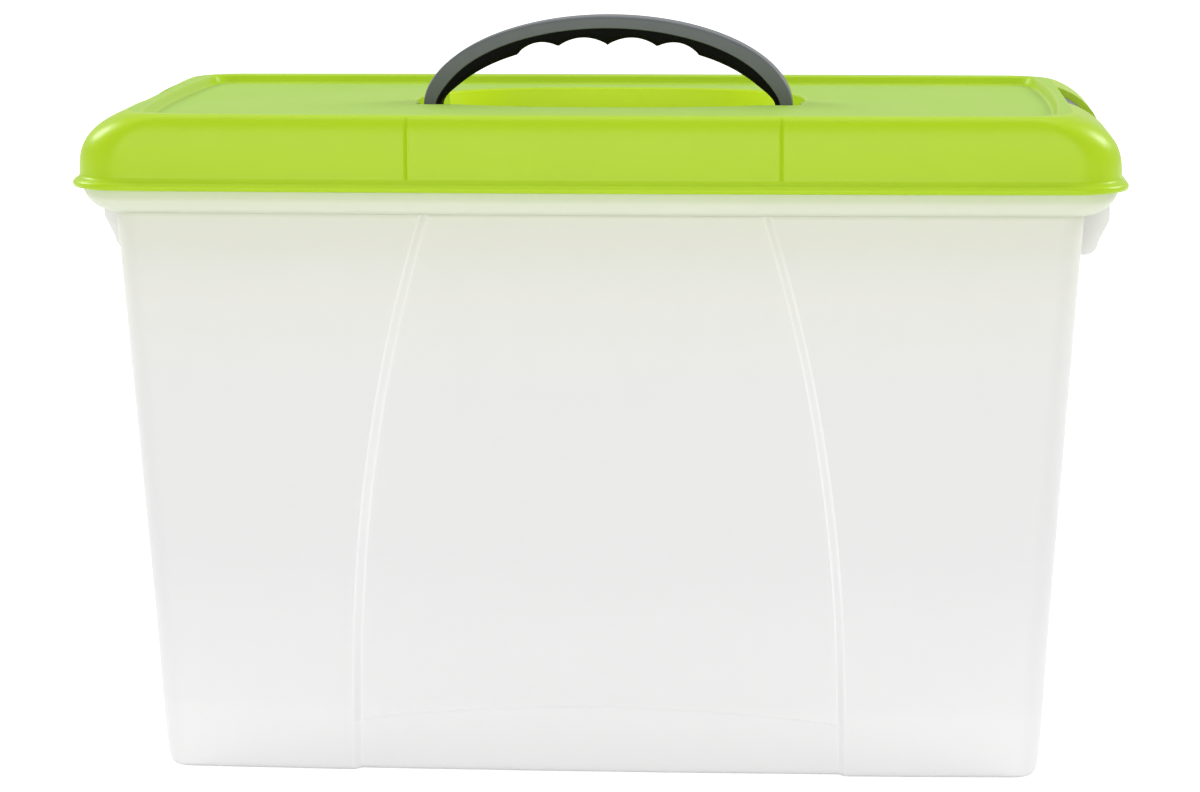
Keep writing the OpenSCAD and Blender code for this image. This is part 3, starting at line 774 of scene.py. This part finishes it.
def lid_shell():
    """Skin of the lid, from the underside of the recess, out and down inside the skirt, round
    the bead and over the top to the floor of the recess"""
    angles = [math.radians(a) for a in spread(0, 90, 24) + [90]]
    under = PANEL_Z - LID_T
    inside = LEDGE_W - LID_T
    rings = [
        dish_ring(4, DISH_Z - LID_T), dish_ring(2.6, DISH_Z - LID_T),
        dish_ring(0.2, DISH_Z - LID_T + 0.7), dish_ring(-0.7, DISH_Z + 2),
        dish_ring(-1.9, under - 1), dish_ring(-3, under), dish_ring(-4, under),
        border_ring(-LID_T + 1, under), border_ring(-LID_T, under),
        border_ring(-LID_T, CREST_Z - LID_T),
    ]
    rings += [shoulder_ring(angle, LID_T) for angle in angles[::-1]]
    rings += [
        bead_ring(-LID_T, LEDGE_Z - LIP_Z), bead_ring(inside, LEDGE_Z - LIP_Z),
        bead_ring(inside, 0.3), bead_ring(inside + 0.3, 0),
    ]
    rings += [bead_ring(BEAD_OUT * share, up) for share, up in BEAD_PROFILE]
    rings += [shoulder_ring(angle, 0) for angle in angles]
    border_strip = len(rings) - 1
    rings += [border_ring(inset, CREST_Z - depth) for inset, depth in BORDER_TOP]
    rings += [border_ring(inset, PANEL_Z + up) for inset, up in BORDER_FOOT]
    panel_strip = len(rings) - 1
    rings += [dish_ring(inset, PANEL_Z - depth) for inset, depth in DISH_LIP]
    rings += [dish_ring(inset, DISH_Z + up) for inset, up in DISH_FOOT]

    # Below its lip the recess takes the brighter material, which is painted light.
    def skin(strip):
        if strip in (border_strip, panel_strip):
            return FROSTED
        return RECESS_PAINTED_LIGHT if strip > panel_strip + LIP_STRIPS else SATIN

    lid = shell("lid_shell", rings, LID_SKINS, skin)
    # Past the handle's legs the recess keeps the lid's own colour, without the painted light.
    leg_slot_x = (ARCH_HALF - STRAP_LEG) * MM
    for polygon in lid.data.polygons:
        if polygon.material_index == RECESS_PAINTED_LIGHT and abs(polygon.center.x) > leg_slot_x:
            polygon.material_index = SATIN
    return lid


def shoulder(angle, sink):
    """Point of the end shoulder, sunk below its outer face, in x and z"""
    s = rise(angle)
    return (
        CREST_HALF_W + (SHOULDER_END - sink) * end_reach(angle),
        SKIRT_Z + (CREST_Z - SKIRT_Z - sink) * s)


def notch_ribs():
    """Walls at the sides and the back of the right notch"""
    start = shoulder(math.radians(18), RIB_SINK)
    outline = [(RIB_X, RIB_Z), (start[0] - 0.6, start[1] - 0.6)]
    outline += [shoulder(math.radians(a), RIB_SINK) for a in range(20, 88, 4)]
    outline += [(RIB_X, CREST_Z - LID_T / 2)]
    ribs = [
        prism("rib", outline, side - RIB_T / 2, side + RIB_T / 2, LID_SKINS)
        for side in (-NOTCH_HALF - RIB_T / 2, NOTCH_HALF + RIB_T / 2)
    ]
    back = block(
        "back", (WELL_X - WELL_T, -NOTCH_HALF - RIB_T, WELL_Z),
        (WELL_X, NOTCH_HALF + RIB_T, CREST_Z - LID_T / 2 - 0.6), LID_SKINS)
    return ribs + [back]


def build_lid():
    lid = lid_shell()
    for rib in notch_ribs():
        at_both_ends(lid, rib, "UNION")
    boss_x = LEG_SLOT + 0.1
    boss = block(
        "boss", (boss_x, -BOSS_R, HINGE_Z - BOSS_R), (boss_x + BOSS_L, BOSS_R, PANEL_Z - LID_T / 2),
        LID_SKINS)
    at_both_ends(lid, boss, "UNION")
    notch = block(
        "notch", (NOTCH_X, -NOTCH_HALF, SILL_Z), (SKIRT_HALF_W + 5, NOTCH_HALF, CREST_Z + 20),
        LID_SKINS)
    at_both_ends(lid, notch, "DIFFERENCE")
    handle_bore = rod(
        "bore", (LEG_SLOT - 5, 0, HINGE_Z), (LEG_SLOT + 8, 0, HINGE_Z), PIN_R, LID_SKINS)
    at_both_ends(lid, handle_bore, "DIFFERENCE")
    half = NOTCH_HALF + RIB_T + 1
    latch_bore = rod(
        "bore", (PIVOT_X, -half, PIVOT_Z), (PIVOT_X, half, PIVOT_Z), LATCH_PIN_R, LID_SKINS)
    at_both_ends(lid, latch_bore, "DIFFERENCE")
    finish_edges(lid)
    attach(lid, "lid")
    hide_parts("lid")


# ------------------------------------------------------------------ handle

def arch(turn, sink):
    """Point of the handle's arch, sunk below its outer face, in x and z"""
    normal = Vector((ARCH_RISE * math.cos(turn), ARCH_HALF * math.sin(turn))).normalized()
    point = Vector((ARCH_HALF * math.cos(turn), ARCH_Z + ARCH_RISE * math.sin(turn)))
    return point - sink * normal


def arch_ring(turn, section):
    """Ring across the arch, through places in y and how far each is sunk"""
    return [(x, y, z) for y, sink in section for x, z in [arch(turn, sink)]]


def strap_t(turn):
    """Thickness of the strap"""
    up = math.sin(turn)
    extra = STRAP_SHOULDER * soft_step(up / math.sin(SHOULDER_START)) * (1 - up)
    return STRAP_LEG + (STRAP_CROWN - STRAP_LEG) * up + extra


def grip_depth(turn):
    """Thickness of the grip: it swells from its tails to its crown, less the finger grooves"""
    x = abs(ARCH_HALF * math.cos(turn))
    share = x / ARCH_HALF
    across = x / FINGER_PITCH if x < FINGER_PITCH else (x - FINGER_PITCH) / OUTER_PITCH
    groove = abs(math.sin(math.pi * across)) ** 0.8 if across < 1 else 0
    along = (GRIP_LEG - GRIP_TAIL) * (1 - share ** 10)
    crown = (GRIP_T - GRIP_LEG) * max(1 - share, 0) ** 1.5
    return GRIP_TAIL + along + crown - (GRIP_T - GROOVE_T) * groove


def rounded_section(half_w, radius, steps=5):
    """Points across a strap, from its inner front edge over the crown to its inner back edge:
    share of its half width, and depth below the outer face"""
    turns = spread(0, math.pi / 2, steps) + [math.pi / 2]
    front = [
        (-half_w + radius * (1 - math.sin(a)), radius * (1 - math.cos(a))) for a in turns[::-1]]
    return front + [(-y, sink) for y, sink in front[::-1]]


def build_handle_frame():
    turns = spread(0, math.pi, 120) + [math.pi]
    section = rounded_section(STRAP_W / 2, STRAP_ROUND)
    edge = STRAP_W / 2

    def strap_ring(turn):
        thick = strap_t(turn)
        low = thick - STRAP_CHAMFER
        ring = [(STRAP_CHAMFER - edge, thick), (-edge, low)] + section
        ring += [(edge, low), (edge - STRAP_CHAMFER, thick)]
        return arch_ring(turn, ring)

    def leg_ring(side, z):
        return [(side * abs(x), y, z) for x, y, _ in strap_ring(0)]

    rings = [leg_ring(1, z) for z in (HINGE_Z, ARCH_Z - 2)]
    rings += [strap_ring(turn) for turn in turns]
    rings += [leg_ring(-1, z) for z in (ARCH_Z - 2, HINGE_Z)]
    handle = shell("handle_strap", rings, [handle_grey])
    inner = ARCH_HALF - STRAP_LEG
    eye = rod(
        "eye", (inner, 0, HINGE_Z), (ARCH_HALF, 0, HINGE_Z), STRAP_W / 2, [handle_grey])
    at_both_ends(handle, eye, "UNION")
    bore = rod(
        "bore", (inner - 1, 0, HINGE_Z), (ARCH_HALF + 1, 0, HINGE_Z), PIN_R + PIN_GAP,
        [handle_grey])
    at_both_ends(handle, bore, "DIFFERENCE")
    finish_edges(handle, 40)
    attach(handle, "handle")
    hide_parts("handle_frame")


def build_handle_grip():
    """Grip under the strap. Its section is given as places in y and shares of its thickness."""
    turns = spread(0, math.pi, 240) + [math.pi]
    half = GRIP_W / 2
    flat = 0.45  # share of its thickness over which its sides are upright
    round_w = 0.3 * half
    across = [(-half, 0.0), (-half, flat)]
    across += [
        (-half + round_w * (1 - math.cos(a)), flat + (1 - flat) * math.sin(a))
        for a in spread(0, math.pi / 2, 6)]
    across += [(round_w - half, 1), (0, 1)]
    section = across + [(-y, share) for y, share in across[-2::-1]]

    def grip_ring(turn):
        top, depth = strap_t(turn), grip_depth(turn)
        return arch_ring(turn, [(y, top + share * depth) for y, share in section[::-1]])

    grip = shell("handle_soft_grip", [grip_ring(turn) for turn in turns], [grip_black])
    finish_edges(grip, 40)
    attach(grip, "handle")
    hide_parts("handle_grip")


# ------------------------------------------------------------------ latches

def latch_pad():
    """Curved pad that follows the lid's shoulder, with rounded edges"""
    rise_at_foot = (SILL_Z + PRESS_GAP - SKIRT_Z) / (CREST_Z - SKIRT_Z - PAD_SINK)
    low = math.asin(rise_at_foot ** (END_CURVE_UP / 2))
    out_at_top = (NOTCH_X + PAD_GAP - CREST_HALF_W) / (SHOULDER_END - PAD_SINK)
    high = math.acos(out_at_top ** (END_CURVE_OUT / 2))
    angles = spread(low, high, 16) + [high]
    outline = [shoulder(angle, PAD_SINK) for angle in angles]
    outline += [shoulder(angle, PAD_SINK + PAD_T) for angle in angles[::-1]]
    half = NOTCH_HALF - PAD_GAP
    pad = prism("pad", outline, -half, half, [latch_grey])
    bevel = pad.modifiers.new("edges", "BEVEL")
    bevel.width = PAD_BEVEL * MM
    bevel.segments = 3
    bevel.limit_method = "ANGLE"
    bevel.angle_limit = math.radians(40)
    apply_modifiers(pad)
    return pad


def right_latch():
    """Pad, hub on the pin, and web down to the hook"""
    skins = [latch_grey]
    latch = latch_pad()
    hook = [
        (ARM_X, PIVOT_Z), (ARM_X, BARB_Z - BARB_H), (ARM_OUT, BARB_Z - BARB_H),
        (ARM_OUT + BARB, BARB_Z - 1), (ARM_OUT + BARB, BARB_Z), (ARM_OUT, BARB_Z),
        (ARM_OUT, PIVOT_Z),
    ]
    parts = [
        rod("hub", (PIVOT_X, -HUB_HALF, PIVOT_Z), (PIVOT_X, HUB_HALF, PIVOT_Z), HUB_R, skins),
        block(
            "web", (PIVOT_X - WEB_IN, -ARM_HALF, PIVOT_Z),
            (PIVOT_X + WEB_OUT, ARM_HALF, PIVOT_Z + WEB_H), skins),
        prism("hook", hook, -ARM_HALF, ARM_HALF, skins),
    ]
    for part in parts:
        combine(latch, part, "UNION")
    past = HUB_HALF + 1
    bore = rod(
        "bore", (PIVOT_X, -past, PIVOT_Z), (PIVOT_X, past, PIVOT_Z), LATCH_PIN_R + PIN_GAP, skins)
    combine(latch, bore, "DIFFERENCE")
    return latch


def build_latches():
    """The right latch and its mirror image at the left"""
    right = right_latch()
    left = mirrored(right)
    for latch, end in ((right, "right"), (left, "left")):
        latch.name = f"rocker_latch_{end}"
        finish_edges(latch, 40)
        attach(latch, f"latch_{end}")
        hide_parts(f"latch_{end}")


# ------------------------------------------------------------------ dressed frame nodes

def dress(node, material):
    """New finish on a node of the frame, which keeps its shape"""
    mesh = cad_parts[node].data
    mesh.materials.clear()
    mesh.materials.append(material)


for end in ("left", "right"):
    dress(f"handle_pin_{end}", pin_nylon)
    dress(f"latch_pin_{end}", pin_nylon)

build_tub()
build_lid()
build_handle_frame()
build_handle_grip()
build_latches()


# ------------------------------------------------------------------ stage, lights and camera

FLOOR_HALF = 6000
FLOOR_NEAR = 0.5  # how much white the floor adds near the box, where it shows the shadow
FLOOR_NEAR_R = 350
FLOOR_FAR_R = 2000  # from here on the floor is white
WORLD_LEVEL = 0.5
LIGHT_AIM = (0, 0, 150)


def white_rays(tree):
    """1 for the rays that see the white surround: from the camera, reflected or let through"""
    path = tree.nodes.new("ShaderNodeLightPath")
    total = path.outputs["Is Camera Ray"]
    for kind in ("Is Glossy Ray", "Is Transmission Ray"):
        most = tree.nodes.new("ShaderNodeMath")
        most.operation = "MAXIMUM"
        tree.links.new(total, most.inputs[0])
        tree.links.new(path.outputs[kind], most.inputs[1])
        total = most.outputs[0]
    return total


def build_stage():
    """Pale floor that keeps the shadow near the box and is white further off"""
    material = new_material("floor_white")
    links = material.node_tree.links
    place = add(material, "ShaderNodeTexCoord").outputs["Object"]
    away = add(material, "ShaderNodeVectorMath")
    away.operation = "LENGTH"
    links.new(place, away.inputs[0])
    level = add(
        material, "ShaderNodeMapRange", Value=away.outputs["Value"],
        From_Min=FLOOR_NEAR_R * MM, From_Max=FLOOR_FAR_R * MM, To_Min=FLOOR_NEAR, To_Max=1.0)
    matt = add(material, "ShaderNodeBsdfDiffuse", Color=(0.95, 0.95, 0.95, 1))
    lift = add(
        material, "ShaderNodeEmission", Color=(1, 1, 1, 1), Strength=level.outputs["Result"])
    both = add(material, "ShaderNodeAddShader")
    links.new(matt.outputs[0], both.inputs[0])
    links.new(lift.outputs[0], both.inputs[1])
    choose = add(material, "ShaderNodeMixShader")
    links.new(white_rays(material.node_tree), choose.inputs[0])
    links.new(matt.outputs[0], choose.inputs[1])
    links.new(both.outputs[0], choose.inputs[2])
    output(material, choose.outputs[0])
    signs = ((-1, -1), (1, -1), (1, 1), (-1, 1))
    corners = [(x * FLOOR_HALF, y * FLOOR_HALF, 0) for x, y in signs]
    make_piece("floor", corners, [[0, 1, 2, 3]], [material])


def build_world():
    """Even light from all round, seen as white"""
    world = bpy.data.worlds.new("studio")
    bpy.context.scene.world = world
    world.use_nodes = True
    tree = world.node_tree
    tree.nodes.clear()
    level = tree.nodes.new("ShaderNodeMapRange")
    level.inputs["To Min"].default_value = WORLD_LEVEL
    level.inputs["To Max"].default_value = 1.0
    tree.links.new(white_rays(tree), level.inputs["Value"])
    back = tree.nodes.new("ShaderNodeBackground")
    tree.links.new(level.outputs[0], back.inputs["Strength"])
    out = tree.nodes.new("ShaderNodeOutputWorld")
    tree.links.new(back.outputs[0], out.inputs[0])


def softbox(name, place, wide, high, power):
    """Area lamp of a size in millimetres and a power in watts, aimed at the middle of the box"""
    lamp = bpy.data.lights.new(name, "AREA")
    lamp.shape = "RECTANGLE"
    lamp.size = wide * MM
    lamp.size_y = high * MM
    lamp.energy = power
    ob = bpy.data.objects.new(name, lamp)
    ob.location = Vector(place) * MM
    aim = Vector(LIGHT_AIM) - Vector(place)
    ob.rotation_euler = aim.to_track_quat("-Z", "Y").to_euler()
    bpy.context.scene.collection.objects.link(ob)


# The camera's place and turns are fitted to the photograph's view of the box
CAMERA_PLACE = (93.42, -1524.76, 412.55)
CAMERA_YAW = 0.06381
CAMERA_PITCH = 0.17271
CAMERA_ROLL = -0.00283
CAMERA_LENS = 107.8
SENSOR_W = 36


def build_camera():
    """Camera at the photograph's place, height and view"""
    camera = bpy.data.cameras.new("camera")
    camera.sensor_width = SENSOR_W
    camera.lens = CAMERA_LENS
    ob = bpy.data.objects.new("camera", camera)
    yaw = Matrix.Rotation(CAMERA_YAW, 4, "Z")
    pitch = Matrix.Rotation(math.pi / 2 - CAMERA_PITCH, 4, "X")
    roll = Matrix.Rotation(CAMERA_ROLL, 4, "Z")
    ob.matrix_world = Matrix.Translation(Vector(CAMERA_PLACE) * MM) @ yaw @ pitch @ roll
    bpy.context.scene.collection.objects.link(ob)
    bpy.context.scene.camera = ob


build_stage()
build_world()
softbox("lamp_front", (0, -2300, 450), 3000, 900, 21)
softbox("lamp_left", (-1300, 400, 1000), 480, 480, 9.5)
softbox("lamp_right", (1300, 400, 1000), 480, 480, 9.5)
softbox("lamp_top", (0, -100, 1600), 1400, 1400, 9)
build_camera()
bpy.context.scene.view_settings.view_transform = "Standard"
